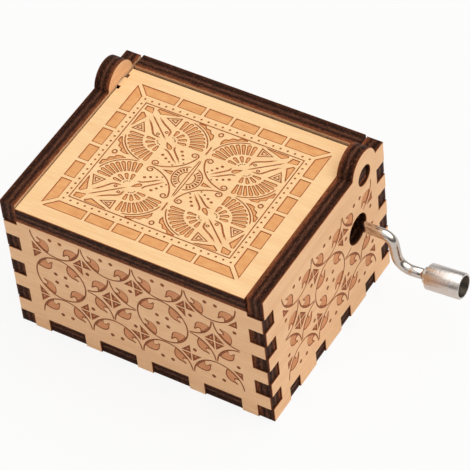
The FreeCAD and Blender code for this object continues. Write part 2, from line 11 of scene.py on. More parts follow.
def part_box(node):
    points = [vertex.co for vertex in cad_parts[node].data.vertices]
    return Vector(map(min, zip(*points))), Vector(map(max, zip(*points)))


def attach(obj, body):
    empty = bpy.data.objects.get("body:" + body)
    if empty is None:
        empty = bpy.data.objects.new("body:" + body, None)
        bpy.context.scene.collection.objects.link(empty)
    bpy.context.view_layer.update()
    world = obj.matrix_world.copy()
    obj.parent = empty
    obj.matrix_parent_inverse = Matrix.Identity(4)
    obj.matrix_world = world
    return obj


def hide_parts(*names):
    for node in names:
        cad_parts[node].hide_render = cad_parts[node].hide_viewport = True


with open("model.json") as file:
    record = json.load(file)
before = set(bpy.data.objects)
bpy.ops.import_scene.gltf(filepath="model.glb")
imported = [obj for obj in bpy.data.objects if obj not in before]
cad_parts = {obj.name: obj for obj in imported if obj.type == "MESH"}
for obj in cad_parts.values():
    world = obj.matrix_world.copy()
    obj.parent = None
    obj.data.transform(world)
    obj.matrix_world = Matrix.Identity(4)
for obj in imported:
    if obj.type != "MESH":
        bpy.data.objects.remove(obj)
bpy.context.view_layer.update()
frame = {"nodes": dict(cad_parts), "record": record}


# ---------------------------------------------------------------- camera
# A long lens stands in front of the right-hand corner and looks down on the lid.
# It aims at a point inside the case and is turned a little about its own axis.
mm = 0.001
aim = Vector((6.5, 3.8, 17.3)) * mm
aim_distance = 618 * mm
camera_azimuth = math.radians(35.52)
camera_elevation = math.radians(47.09)
camera_roll = math.radians(-6.65)
focal_length = 220.5
film_width = 36
camera_turn = (
    Matrix.Rotation(camera_azimuth, 4, "Z")
    @ Matrix.Rotation(math.pi / 2 - camera_elevation, 4, "X")
    @ Matrix.Rotation(camera_roll, 4, "Z")
)
lens = bpy.data.cameras.new("camera")
lens.lens = focal_length
lens.sensor_width = film_width
camera = bpy.data.objects.new("camera", lens)
camera.matrix_world = Matrix.Translation(aim) @ camera_turn @ Matrix.Translation((0, 0, aim_distance))
bpy.context.scene.collection.objects.link(camera)
bpy.context.scene.camera = camera
bpy.context.scene.view_settings.view_transform = "Standard"


# ---------------------------------------------------------------- studio
# A white sweep under an even pale sky, with a broad soft lamp high behind the right shoulder of the box,
# and two weak ones at the front and on the crank's side. The floor and the sky show white, and the floor
# keeps the shadow. Polished metal sees a soft box overhead and a dark band below it.
class Wire:
    """One socket of a node tree. Arithmetic on it adds Math nodes, and node() adds any other node."""

    def __init__(self, tree, socket=None):
        self.tree = tree
        self.socket = socket

    def node(self, kind, settings=None, sockets=None, out=0):
        """Adds a node: its settings first, then the values or links of its sockets."""
        made = self.tree.nodes.new(kind)
        for name, value in (settings or {}).items():
            if name == "stops":
                set_stops(made.color_ramp, value)
            else:
                setattr(made, name, value)
        for name, value in (sockets or {}).items():
            self.plug(find_socket(made.inputs, name), value)
        return Wire(self.tree, find_socket(made.outputs, out) if made.outputs else None)

    def plug(self, socket, value):
        """Gives a socket its value, a link, or several links where it takes more than one."""
        if isinstance(value, Wire):
            self.tree.links.new(value.socket, socket)
        elif isinstance(value, list):
            for each in value:
                self.tree.links.new(each.socket, socket)
        else:
            socket.default_value = value

    def math(self, operation, first, second=0.0):
        return self.node("ShaderNodeMath", {"operation": operation}, {0: first, 1: second})

    def __add__(self, other):
        return self.math("ADD", self, other)

    def __radd__(self, other):
        return self.math("ADD", other, self)

    def __sub__(self, other):
        return self.math("SUBTRACT", self, other)

    def __rsub__(self, other):
        return self.math("SUBTRACT", other, self)

    def __mul__(self, other):
        return self.math("MULTIPLY", self, other)

    def __rmul__(self, other):
        return self.math("MULTIPLY", other, self)

    def scaled(self, factors):
        """A vector times a vector."""
        return self.node("ShaderNodeVectorMath", {"operation": "MULTIPLY"}, {0: self, 1: factors})

    def blend(self, low, high):
        """Colour between two colours, with this value as the share of the second."""
        sockets = {"Factor_Float": self, "A_Color": low, "B_Color": high}
        return self.node("ShaderNodeMix", {"data_type": "RGBA"}, sockets, out="Result_Color")

    def between(self, low, high):
        """This value's place between two limits, from 0 to 1."""
        return self.node("ShaderNodeMapRange", {}, {"Value": self, "From Min": low, "From Max": high})


def find_socket(sockets, name):
    """A socket by its number, its identifier or its name."""
    if isinstance(name, int):
        return sockets[name]
    for socket in sockets:
        if socket.identifier == name:
            return socket
    return sockets[name]


def set_stops(ramp, stops):
    """Gives a colour ramp its stops, each a place and a colour."""
    while len(ramp.elements) < len(stops):
        ramp.elements.new(1.0)
    for element, (position, colour) in zip(ramp.elements, stops):
        element.position = position
        element.color = colour


def colour(red, green, blue):
    """A colour given as a screen shows it, 0 to 255, as the linear light that a shader takes."""
    return tuple(((c / 255 + 0.055) / 1.055) ** 2.4 for c in (red, green, blue)) + (1.0,)


sky_light = 0.45
back_glow = 0.35
white = colour(255, 255, 255)
world = bpy.data.worlds.new("studio")
world.use_nodes = True
world.node_tree.nodes.clear()
sky = Wire(world.node_tree)
ray_kinds = ("Is Camera Ray", "Is Glossy Ray", "Is Transmission Ray")
camera_ray, glossy_ray, clear_ray = (sky.node("ShaderNodeLightPath", out=kind) for kind in ray_kinds)
direction = sky.node("ShaderNodeTexCoord", out="Generated")
towards = sky.node("ShaderNodeSeparateXYZ", {}, {"Vector": direction})
away, height = (Wire(sky.tree, towards.socket.node.outputs[axis]) for axis in ("Y", "Z"))
grey = {level: (level, level, level, 1.0) for level in (0.02, 0.4, 0.8)}
overhead = sky.node(
    "ShaderNodeValToRGB",
    {"stops": [(0.0, grey[0.8]), (0.1, grey[0.02]), (0.39, grey[0.02]), (0.5, grey[0.4]), (0.8, white)]},
    {"Fac": height},
)
soft_box = sky.math("MAXIMUM", overhead, away.between(-0.1, 0.7) * back_glow)
seen = sky.math("MAXIMUM", camera_ray, clear_ray)
strength = sky.math("MAXIMUM", seen, glossy_ray * soft_box + (1 - glossy_ray) * sky_light)
background = sky.node("ShaderNodeBackground", {}, {"Color": white, "Strength": strength})
sky.node("ShaderNodeOutputWorld", {}, {"Surface": background})
bpy.context.scene.world = world


def empty_material(name):
    """A material with no nodes yet, and a wire in its tree."""
    made = bpy.data.materials.new(name)
    made.use_nodes = True
    made.node_tree.nodes.clear()
    return made, Wire(made.node_tree)


def put_in_scene(name, mesh):
    piece = bpy.data.objects.new(name, mesh)
    bpy.context.scene.collection.objects.link(piece)
    return piece


floor_reach = 3.0
floor_drop = 0.05 * mm
floor_glow = 0.88
floor_mesh = bpy.data.meshes.new("floor")
floor_corners = [(x * floor_reach, y * floor_reach, 0) for x, y in ((-1, -1), (1, -1), (1, 1), (-1, 1))]
floor_mesh.from_pydata(floor_corners, [], [(0, 1, 2, 3)])
floor = put_in_scene("floor", floor_mesh)
floor.location.z = -floor_drop
floor_paper, wire = empty_material("white_sweep")
paper = wire.node("ShaderNodeBsdfDiffuse", {}, {"Color": colour(232, 231, 230)})
glow = wire.node("ShaderNodeEmission", {}, {"Color": white, "Strength": 1.0})
to_camera = wire.node("ShaderNodeLightPath", out="Is Camera Ray")
swept = wire.node("ShaderNodeMixShader", {}, {0: to_camera * floor_glow, 1: paper, 2: glow})
wire.node("ShaderNodeOutputMaterial", {}, {"Surface": swept})
floor_mesh.materials.append(floor_paper)


def soft_lamp(name, azimuth, elevation, strength, spread, tint):
    """A distant lamp with a broad disc. Azimuth 0 stands in front of the box, 90 on the crank's side."""
    lamp = bpy.data.lights.new(name, "SUN")
    lamp.energy = strength
    lamp.angle = math.radians(spread)
    lamp.color = tint
    holder = bpy.data.objects.new(name, lamp)
    swing = Matrix.Rotation(math.radians(azimuth), 4, "Z")
    holder.matrix_world = swing @ Matrix.Rotation(math.radians(90 - elevation), 4, "X")
    bpy.context.scene.collection.objects.link(holder)


soft_lamp("key_lamp", azimuth=120, elevation=66, strength=1.85, spread=70, tint=(1.0, 0.985, 0.96))
soft_lamp("side_lamp", azimuth=70, elevation=25, strength=0.12, spread=60, tint=(1.0, 0.97, 0.93))
soft_lamp("front_lamp", azimuth=-10, elevation=12, strength=0.28, spread=60, tint=(0.9, 0.92, 1.0))


# ---------------------------------------------------------------- bottom panel
# A plain board whose tabs fill the notches in the lower edges of the four walls. Like every board of the
# box it is laser-cut from three-ply birch, with pale sanded faces and charred edges that show the plies.
# It is glued in and carries the movement on four countersunk screws.
case_low, case_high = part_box("left_panel")[0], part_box("right_panel")[1]
front_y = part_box("front_panel")[0].y
back_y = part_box("back_panel")[1].y
lid_low, lid_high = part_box("lid")
ply = (lid_high.z - lid_low.z) / mm


# A board is drawn in its own plane in millimetres, along, up and outwards, and then laid in the case.
def lay(along, up, outwards, place):
    """Matrix that lays a board in the case, by its three directions and the place of its zero point."""
    turn = Matrix((along, up, outwards)).transposed().to_4x4()
    return Matrix.Translation(place) @ turn @ Matrix.Scale(mm, 4)


X, Y, Z = Vector((1, 0, 0)), Vector((0, 1, 0)), Vector((0, 0, 1))
places = {
    "bottom_panel": lay(X, -Y, -Z, Vector((0, 0, case_low.z))),
    "front_panel": lay(X, Z, -Y, Vector((0, front_y, 0))),
    "back_panel": lay(-X, Z, Y, Vector((0, back_y, 0))),
    "left_panel": lay(-Y, Z, -X, Vector((case_low.x, 0, 0))),
    "right_panel": lay(Y, Z, X, Vector((case_high.x, 0, 0))),
    "lid": lay(X, Y, Z, Vector((0, 0, lid_high.z))),
}


def surface(wire, sockets):
    """Ends a material with its shader."""
    shader = wire.node("ShaderNodeBsdfPrincipled", {}, sockets)
    wire.node("ShaderNodeOutputMaterial", {}, {"Surface": shader})


def noise(wire, place, scale, detail=2.0, rough=0.5):
    """Noise over a piece, with its own number of lumps along each of the piece's coordinates."""
    sockets = {"Vector": place.scaled(scale), "Scale": 1.0, "Detail": detail, "Roughness": rough}
    return wire.node("ShaderNodeTexNoise", {}, sockets)


def board_coordinates(wire):
    """The place of each point in its board's own millimetres, which finish_board() keeps."""
    return wire.node("ShaderNodeAttribute", {"attribute_name": "board"}, out="Vector")


def birch_face(name, pale, tan):
    """Sanded birch veneer: broad soft bands, fine fibres and a few darker flecks along the grain."""
    made, wire = empty_material(name)
    board = board_coordinates(wire)
    bands = noise(wire, board, (0.03, 0.28, 0.28))
    fibres_and_glints = noise(wire, board, (0.2, 2.2, 2.2), detail=4.0, rough=0.65)
    flecks = noise(wire, board, (0.5, 5.5, 5.5)).between(0.62, 0.75)
    tone = bands.between(0.3, 0.7) * 0.45 + fibres_and_glints.between(0.32, 0.68) * 0.5 + flecks * 0.4
    bump = wire.node("ShaderNodeBump", {}, {"Strength": 0.25, "Distance": 0.02 * mm, "Height": fibres_and_glints})
    surface(wire, {"Base Color": tone.blend(pale, tan), "Roughness": 0.5 + fibres_and_glints * 0.25, "Normal": bump})
    return made


def charred_edge(name):
    """The laser's cut: burnt plies as light and dark bands, broken up by soot, with pale streaks painted
    on as glints.
    """
    made, wire = empty_material(name)
    board = board_coordinates(wire)
    depth = board.node("ShaderNodeSeparateXYZ", {}, {"Vector": board}, out="Z") * (-1 / ply)
    wander = noise(wire, board, (0.9, 0.9, 0.9))
    marks = noise(wire, board, (2.6, 2.6, 3.6), detail=3.0, rough=0.75)
    streaks = noise(wire, board, (0.6, 0.6, 4.0), detail=3.0, rough=0.6)
    fibres_and_glints = noise(wire, board, (1.3, 1.3, 7.0), detail=2.0)
    layers = wire.node(
        "ShaderNodeValToRGB",
        {
            "stops": [
                (0.0, colour(118, 68, 40)),
                (0.07, colour(88, 50, 32)),
                (0.20, colour(60, 35, 25)),
                (0.30, colour(34, 21, 17)),
                (0.38, colour(66, 38, 28)),
                (0.50, colour(116, 76, 58)),
                (0.60, colour(74, 43, 31)),
                (0.69, colour(36, 22, 18)),
                (0.80, colour(112, 64, 43)),
                (1.0, colour(168, 96, 60)),
            ]
        },
        {"Fac": depth + (wander - 0.5) * 0.16},
    )
    soot = streaks.between(0.4, 0.62) * 0.5 + marks.between(0.42, 0.62) * 0.45
    burnt = soot.blend(layers, colour(32, 20, 16))
    bump = wire.node("ShaderNodeBump", {}, {"Strength": 0.6, "Distance": 0.06 * mm, "Height": marks})
    surface(
        wire,
        {
            # The pale streaks across the cut are painted glints: highlights painted into the edge's
            # colour.
            "Base Color": (fibres_and_glints.between(0.58, 0.7) * 0.55).blend(burnt, colour(150, 92, 62)),
            "Roughness": 0.45 + marks * 0.3,
            "Specular IOR Level": 0.1,
            "Specular Tint": colour(150, 80, 50),
            "Normal": bump,
        },
    )
    return made


birch = birch_face("birch_face", colour(252, 206, 158), colour(234, 178, 128))
edge_wood = charred_edge("charred_edge")


def finish_board(name, mesh):
    """Keeps a board's own coordinates for its grain, lays it in place and lets it stand for the solid."""
    mesh.shade_flat()
    board = mesh.attributes.new("board", "FLOAT_VECTOR", "POINT")
    for vertex, value in zip(mesh.vertices, board.data):
        value.vector = vertex.co
    mesh.transform(places[name])
    mesh.update()
    piece = put_in_scene("plywood_" + name, mesh)
    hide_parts(name)
    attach(piece, "lid" if name == "lid" else "case")
    "birch_ply_lid" if name == "lid" else "birch_ply"


weld_gap = 0.001


def solid_copy(name):
    """The board's solid in its own millimetres, with its loose triangles joined."""
    copy = bmesh.new()
    copy.from_mesh(frame["nodes"][name].data)
    copy.transform(places[name].inverted())
    bmesh.ops.remove_doubles(copy, verts=copy.verts, dist=weld_gap)
    return copy


# A polygon belongs to a board's faces and not to its edges when its normal runs nearly through the board.
nearly_through = 0.9
bottom = solid_copy("bottom_panel")
bmesh.ops.dissolve_limit(bottom, angle_limit=math.radians(1), verts=bottom.verts, edges=bottom.edges)
for face in bottom.faces:
    face.material_index = 0 if abs(face.normal.z) > nearly_through else 1
bottom_mesh = bpy.data.meshes.new("bottom_panel")
bottom.to_mesh(bottom_mesh)
bottom.free()
bottom_mesh.materials.append(birch)
bottom_mesh.materials.append(edge_wood)
finish_board("bottom_panel", bottom_mesh)


# ---------------------------------------------------------------- bedplate
# The movement's base is one zinc die casting with rounded corners and a raised ledge for the comb. Four
# countersunk cross-head screws of plated steel come up through the bottom panel and hold it.
body_of = {node: body for body, nodes in frame["record"]["behaviour"]["bodies"].items() for node in nodes}


def metal(name, bright, dull, rough, grain, bump=0.15, ridge=0.01):
    """Metal whose tone and gloss wander along a grain, given as lumps per millimetre along each axis."""
    made, wire = empty_material(name)
    place = wire.node("ShaderNodeTexCoord", out="Object")
    marks = noise(wire, place, tuple(lumps / mm for lumps in grain), detail=3.0, rough=0.6)
    smudges = noise(wire, place, (0.35 / mm, 0.35 / mm, 0.35 / mm))
    tone = marks.between(0.3, 0.7) * 0.5 + smudges.between(0.3, 0.7) * 0.5
    relief = wire.node("ShaderNodeBump", {}, {"Strength": bump, "Distance": ridge * mm, "Height": marks})
    surface(
        wire,
        {
            "Base Color": tone.blend(bright, dull),
            "Metallic": 1.0,
            "Roughness": rough[0] + tone * (rough[1] - rough[0]),
            "Normal": relief,
        },
    )
    return made


weld_reach = 0.0005 * mm
crease_angle = 32


def dress(name, material):
    """Welds a copy of a piece's solid, smooths its round faces and gives it its finish."""
    copy = bmesh.new()
    copy.from_mesh(frame["nodes"][name].data)
    bmesh.ops.remove_doubles(copy, verts=copy.verts, dist=weld_reach)
    mesh = bpy.data.meshes.new(name)
    copy.to_mesh(mesh)
    copy.free()
    mesh.shade_smooth()
    mesh.set_sharp_from_angle(angle=math.radians(crease_angle))
    mesh.materials.append(material)
    piece = put_in_scene("dressed_" + name, mesh)
    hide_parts(name)
    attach(piece, body_of[name])
    return piece


cast_zinc = metal(
    "cast_zinc", colour(178, 178, 180), colour(140, 140, 143),
    rough=(0.42, 0.6), grain=(7, 7, 7), bump=0.5,
)
plated_screw = metal(
    "plated_screw", colour(205, 207, 212), colour(165, 167, 174),
    rough=(0.2, 0.36), grain=(9, 9, 2),
)
dress("bedplate", cast_zinc)
dress("bed_screws", plated_screw)


# ---------------------------------------------------------------- bearings
# Two bent brackets of plated steel hold the drum's arbor. Two cast blocks hold the crank's shaft in
# bushes of sintered bronze. Slotted pan-head screws fasten all four to the bedplate.
pressed_steel = metal(
    "pressed_steel", colour(200, 201, 204), colour(158, 159, 163),
    rough=(0.28, 0.45), grain=(0.6, 6, 6),
)
bronze = metal(
    "sintered_bronze", colour(176, 128, 78), colour(128, 88, 52),
    rough=(0.4, 0.6), grain=(10, 10, 10), bump=0.4,
)
for bracket in ("front_drum_bracket", "rear_drum_bracket"):
    dress(bracket, pressed_steel)
for block in ("inner_bearing_block", "outer_bearing_block"):
    dress(block, cast_zinc)
dress("shaft_bushes", bronze)
dress("bracket_screws", plated_screw)


# ---------------------------------------------------------------- comb
# Eighteen teeth ground from one plate of spring steel, tuned underneath with drops of lead.
# A brass strap and two slotted screws clamp it to the bedplate's ledge.
ground_steel = metal(
    "ground_steel", colour(196, 197, 200), colour(138, 140, 146),
    rough=(0.2, 0.38), grain=(0.4, 14, 14), bump=0.3,
)
dull_lead = metal(
    "dull_lead", colour(120, 121, 128), colour(84, 85, 92),
    rough=(0.5, 0.7), grain=(5, 5, 5), bump=0.5,
)
brass = metal(
    "bright_brass", colour(226, 184, 104), colour(184, 138, 66),
    rough=(0.16, 0.32), grain=(10, 0.5, 10), bump=0.2,
)
dress("comb", ground_steel)
dress("tuning_weights", dull_lead)
dress("comb_strap", brass)
dress("comb_screws", plated_screw)


# ---------------------------------------------------------------- drum
# A brass tube with steel pins that pluck the comb. Moulded ends close it, a cap in front and a worm wheel
# behind, on a steel arbor that two spring clips keep in its brackets.
def moulded(name, pale, shade):
    """Moulded plastic, a little uneven in tone and gloss."""
    made, wire = empty_material(name)
    place = wire.node("ShaderNodeTexCoord", out="Object")
    flow = noise(wire, place, (0.3 / mm, 0.3 / mm, 0.3 / mm))
    skin = noise(wire, place, (8 / mm, 8 / mm, 8 / mm))
    relief = wire.node("ShaderNodeBump", {}, {"Strength": 0.2, "Distance": 0.01 * mm, "Height": skin})
    tone = flow.between(0.3, 0.7).blend(pale, shade)
    surface(wire, {"Base Color": tone, "Roughness": 0.35 + skin * 0.2, "Normal": relief})
    return made


plastic = moulded("moulded_plastic", colour(236, 233, 222), colour(218, 213, 198))
dress("drum_tube", brass)
dress("drum_pins", ground_steel)
dress("drum_cap", plastic)
dress("drum_gear", plastic)
dress("drum_arbor", ground_steel)
dress("arbor_clips", pressed_steel)


# ---------------------------------------------------------------- walls
# Four boards with interlocked fingers at the corners, glued up. Their outer faces carry a lattice: whole
# circles and four-pointed stars by turns, half circles above and below, and curled leaves in them all.

# The ornament is a drawing of shallow laser cuts: lines, pits, and pockets with a scored outline and a
# skimmed floor. A cut is an open shell whose rim lies in the board's face, and the carving tree cuts all
# of a board's shells into it at once.
groove_width = 0.24
line_width = 0.3
groove_depth = 0.14
pocket_depth = 0.07
pit_depth = 0.17


def engraved_floor(name, light, dark):
    """Wood that the laser has skimmed: toasted brown, dotted by its slanting passes."""
    made, wire = empty_material(name)
    board = board_coordinates(wire)
    apart = board.node("ShaderNodeSeparateXYZ", {}, {"Vector": board})
    u, v = (Wire(wire.tree, apart.socket.node.outputs[axis]) for axis in ("X", "Y"))
    dot_spacing = 0.6
    turn = math.tau / dot_spacing
    dots = wire.math("SINE", (u + v) * turn) * wire.math("SINE", (u - v) * turn) * 0.5 + 0.5
    clouds = noise(wire, board, (0.35, 0.7, 0.7), detail=3.0)
    tone = dots * 0.65 + clouds.between(0.3, 0.7) * 0.35
    bump = wire.node("ShaderNodeBump", {}, {"Strength": 0.5, "Distance": 0.03 * mm, "Height": dots})
    surface(wire, {"Base Color": tone.blend(light, dark), "Roughness": 0.75, "Normal": bump})
    return made


def scored_line(name, light, dark):
    """The groove round each engraved shape, burnt darker than its floor."""
    made, wire = empty_material(name)
    clouds = noise(wire, board_coordinates(wire), (1.2, 1.2, 1.2), detail=3.0)
    surface(wire, {"Base Color": clouds.between(0.3, 0.7).blend(light, dark), "Roughness": 0.7})
    return made


toasted = engraved_floor("toasted_floor", colour(235, 166, 114), colour(196, 122, 76))
groove = scored_line("scored_line", colour(172, 90, 38), colour(122, 60, 24))


def keep(name, shell):
    """Turns a bmesh into an object that node trees can take up. It isn't in the scene."""
    mesh = bpy.data.meshes.new(name)
    shell.to_mesh(mesh)
    shell.free()
    return bpy.data.objects.new(name, mesh)


sharpest_corner = 0.1
free_share = 0.98
finest_step = 0.005


def set_in(outline, far):
    """An outline's points moved in by a distance, or as far as there is room, and how far each went."""
    sides = [(a, b) for a, b in zip(outline, outline[1:] + outline[:1])]
    leans = [(b - a).normalized().orthogonal() for a, b in sides]
    moved = []
    for k, point in enumerate(outline):
        lean = (leans[k - 1] + leans[k]) / max(sharpest_corner, 1 + leans[k - 1].dot(leans[k]))
        others = [side for side in sides if point not in side]

        def clear(way):
            """Whether the point, moved in so far, lies nearer to its own sides than to any other."""
            place = point + lean * way
            for a, b in others:
                share = min(1, max(0, (place - a).dot(b - a) / (b - a).length_squared))
                if (place - a - (b - a) * share).length < way * free_share:
                    return False
            return True

        low, high = (far, far) if clear(far) else (0, far)
        while high - low > finest_step:
            middle = (low + high) / 2
            low, high = (middle, high) if clear(middle) else (low, middle)
        moved.append((point + lean * low, low))
    return moved


def pockets(name, outlines, width=groove_width, floor=pocket_depth):
    """Sinks outlines: a groove of V section runs along each one's inside, with a floor within it."""
    shell = bmesh.new()
    for outline in outlines:
        outline = [Vector(point) for point in outline]
        if sum(a.cross(b) for a, b in zip(outline, outline[1:] + outline[:1])) < 0:
            outline.reverse()
        rings = [[shell.verts.new((*point, 0)) for point in outline]]
        for far in (width / 2, width):
            ring = []
            for place, way in set_in(outline, far):
                share = way / width * 2
                rise = (groove_depth - floor) * (share - 1)
                depth = groove_depth * share if share < 1 else groove_depth - rise
                ring.append(shell.verts.new((*place, -depth)))
            rings.append(ring)
        for outer, inner in zip(rings, rings[1:]):
            for k in range(len(outer)):
                shell.faces.new((outer[k - 1], outer[k], inner[k], inner[k - 1]))
        shell.faces.new(rings[-1])
    return keep(name, shell)


def arc(centre, radius, start, end, count):
    """Points on an arc, with its angles in degrees."""
    angles = [math.radians(start + (end - start) * k / (count - 1)) for k in range(count)]
    return [(centre[0] + radius * math.cos(a), centre[1] + radius * math.sin(a)) for a in angles]


def pits(name, places_and_sizes):
    """Small round pits, deeper than anything else, from each one's middle and radius."""
    circles = [(arc(place, radius, 0, 324, 10), radius) for place, radius in places_and_sizes]
    return gather(name, [pockets(name, [circle], radius * 0.5, pit_depth) for circle, radius in circles])


def gather(name, objects, turns=(Matrix.Identity(4),)):
    """Joins cuts into one, with a moved, turned or mirrored copy of them all for each matrix."""
    shell = bmesh.new()
    for turn in turns:
        for each in objects:
            first = len(shell.verts)
            shell.from_mesh(each.data)
            shell.verts.ensure_lookup_table()
            bmesh.ops.transform(shell, matrix=turn, verts=shell.verts[first:])
    return keep(name, shell)


def new_tree(name, inputs):
    """A modifier's node tree with named inputs. Gives the tree and a wire for each input."""
    tree = bpy.data.node_groups.new(name, "GeometryNodeTree")
    tree.interface.new_socket("Geometry", in_out="INPUT", socket_type="NodeSocketGeometry")
    for label, kind in inputs.items():
        tree.interface.new_socket(label, in_out="INPUT", socket_type="NodeSocket" + kind)
    tree.interface.new_socket("Geometry", in_out="OUTPUT", socket_type="NodeSocketGeometry")
    entry = tree.nodes.new("NodeGroupInput")
    return tree, {socket.name: Wire(tree, socket) for socket in entry.outputs if socket.name}


def run_tree(name, tree, values, mesh=None):
    """Runs a node tree on a mesh, or on nothing, and gives the mesh that comes out."""
    worker = put_in_scene(name, mesh or bpy.data.meshes.new(name))
    modifier = worker.modifiers.new(name, "NODES")
    modifier.node_group = tree
    for item in tree.interface.items_tree:
        if item.in_out == "INPUT" and item.name in values:
            modifier[item.identifier] = values[item.name]
    made = bpy.data.meshes.new_from_object(worker.evaluated_get(bpy.context.evaluated_depsgraph_get()))
    worker.modifiers.clear()
    bpy.data.objects.remove(worker)
    return made


# Scoring tree: a groove with a narrow flat bottom along each path, which thins out at the ends of an open
# one. Taper is the share of the path that each end takes to reach its whole width.
score_tree, given = new_tree(
    "score_line",
    {"Paths": "Object", "Width": "Float", "Depth": "Float", "Taper": "Float"},
)
wire = given["Geometry"]
paths = wire.node("GeometryNodeObjectInfo", {}, {"Object": given["Paths"]}, out="Geometry")
paths = wire.node("GeometryNodeSetCurveNormal", {"mode": "Z_UP"}, {"Curve": paths})
share = wire.node("GeometryNodeSplineParameter", out="Factor")
nearest_end = wire.math("MINIMUM", share, 1 - share)
width = wire.math("MINIMUM", wire.math("DIVIDE", nearest_end, given["Taper"]), 1.0)
width = wire.math("MAXIMUM", width, wire.node("GeometryNodeInputSplineCyclic"))
section = wire.node(
    "GeometryNodeCurveQuadraticBezier",
    {},
    {
        "Resolution": 1,
        "Start": wire.node("ShaderNodeCombineXYZ", {}, {"X": given["Width"] * -0.5}),
        "Middle": wire.node("ShaderNodeCombineXYZ", {}, {"Y": given["Depth"] * 2}),
        "End": wire.node("ShaderNodeCombineXYZ", {}, {"X": given["Width"] * 0.5}),
    },
)
sweep = {"Curve": paths, "Profile Curve": section, "Scale": width}
grooves = wire.node("GeometryNodeCurveToMesh", {}, sweep)
grooves = wire.node("GeometryNodeMergeByDistance", {}, {"Geometry": grooves, "Distance": weld_gap * 2})
grooves = wire.node("GeometryNodeRealizeInstances", {}, {"Geometry": grooves})
grooves = wire.node("GeometryNodeSetMaterial", {}, {"Geometry": grooves, "Material": groove})
wire.node("NodeGroupOutput", {}, {"Geometry": grooves})


def lines(name, open_paths, closed_paths=(), width=line_width, taper=0.12):
    """Scored lines along lists of points."""
    drawing = bpy.data.curves.new(name, "CURVE")
    drawing.dimensions = "3D"
    for path in [*open_paths, *closed_paths]:
        spline = drawing.splines.new("POLY")
        spline.points.add(len(path) - 1)
        for point, (x, y) in zip(spline.points, path):
            point.co = (x, y, 0, 1)
        spline.use_cyclic_u = path in closed_paths
    values = {
        "Paths": bpy.data.objects.new(name, drawing),
        "Width": float(width),
        "Depth": groove_depth,
        "Taper": float(taper),
    }
    return bpy.data.objects.new(name, run_tree(name + "_score", score_tree, values))


# Carving tree: closes a board's cut edges with its two faces, leaves the cuts open in the front one,
# and gives each face its finish by where it lies and which way it looks.
carve_tree, given = new_tree(
    "carve_board",
    {
        "Cuts": "Object",
        "Ply": "Float",
        "Birch": "Material",
        "Edge": "Material",
        "Floor": "Material",
        "Groove": "Material",
    },
)
wire = given["Geometry"]
cuts = wire.node("GeometryNodeObjectInfo", {}, {"Object": given["Cuts"]}, out="Geometry")
shells = wire.node("GeometryNodeJoinGeometry", {}, {"Geometry": [wire, cuts]})
open_edge = wire.node(
    "FunctionNodeCompare",
    {"data_type": "INT", "operation": "EQUAL"},
    {"A_INT": wire.node("GeometryNodeInputMeshEdgeNeighbors"), "B_INT": 1},
)
position = wire.node("GeometryNodeInputPosition")
height = wire.node("ShaderNodeSeparateXYZ", {}, {"Vector": position}, out="Z")
in_front = wire.math("GREATER_THAN", height, given["Ply"] * -0.5)
front_rims = {"Mesh": shells, "Selection": open_edge * in_front}
back_rims = {"Mesh": shells, "Selection": open_edge * (1 - in_front)}
front_loops = wire.node("GeometryNodeMeshToCurve", {}, front_rims)
back_loops = wire.node("GeometryNodeMeshToCurve", {}, back_rims)
front_face = wire.node("GeometryNodeFillCurve", {}, {"Curve": front_loops})
back_face = wire.node("GeometryNodeFillCurve", {}, {"Curve": back_loops})
through = wire.node("ShaderNodeCombineXYZ", {}, {"Z": given["Ply"] * -1})
back_face = wire.node("GeometryNodeTransform", {}, {"Geometry": back_face, "Translation": through})
whole = wire.node("GeometryNodeJoinGeometry", {}, {"Geometry": [shells, front_face, back_face]})
whole = wire.node("GeometryNodeMergeByDistance", {}, {"Geometry": whole, "Distance": weld_gap})
whole = wire.node("GeometryNodeRealizeInstances", {}, {"Geometry": whole})
normal = wire.node("GeometryNodeInputNormal")
looks_out = wire.node("ShaderNodeSeparateXYZ", {}, {"Vector": normal}, out="Z")
flat = wire.math("GREATER_THAN", wire.math("ABSOLUTE", looks_out), nearly_through)


def at_depth(least, most):
    """1 where the surface lies between two depths under the board's face, else 0."""
    return wire.math("LESS_THAN", height, -least) * wire.math("GREATER_THAN", height, -most)


cut = at_depth(pocket_depth * 0.3, pit_depth * 1.2)
skimmed = at_depth(pocket_depth * 0.97, pocket_depth * 1.45)
for selection, finish in (
    (1 - flat, given["Edge"]),
    (flat, given["Birch"]),
    (cut, given["Groove"]),
    (flat * skimmed, given["Floor"]),
):
    painted = {"Geometry": whole, "Selection": selection, "Material": finish}
    whole = wire.node("GeometryNodeSetMaterial", {}, painted)
wire.node("NodeGroupOutput", {}, {"Geometry": whole})


arris = 0.1


def cut_edges(name):
    """A board's laser-cut edges alone, in its own plane, with the sharp front arris taken off."""
    shell = solid_copy(name)
    shell.normal_update()
    faces = [face for face in shell.faces if abs(face.normal.z) > nearly_through]
    bmesh.ops.delete(shell, geom=faces, context="FACES")
    open_edges = [edge for edge in shell.edges if edge.is_boundary]
    rim = [edge for edge in open_edges if all(vertex.co.z > -ply / 2 for vertex in edge.verts)]
    corners = {vertex for edge in rim for vertex in edge.verts}

    def spot(vertex):
        """A corner's place as a key, which its extruded copy shares until it moves."""
        return tuple(round(c, 3) for c in vertex.co)

    inward = {}
    for vertex in corners:
        first = vertex.link_faces[0].normal
        other = min((face.normal for face in vertex.link_faces), key=first.dot)
        inward[spot(vertex)] = -(first + other) / (1 + first.dot(other)) * arris
    made = bmesh.ops.extrude_edge_only(shell, edges=rim)["geom"]
    for vertex in (each for each in made if isinstance(each, bmesh.types.BMVert)):
        vertex.co += inward[spot(vertex)]
    for vertex in corners:
        vertex.co.z = -arris
    mesh = bpy.data.meshes.new(name)
    shell.to_mesh(mesh)
    shell.free()
    return mesh


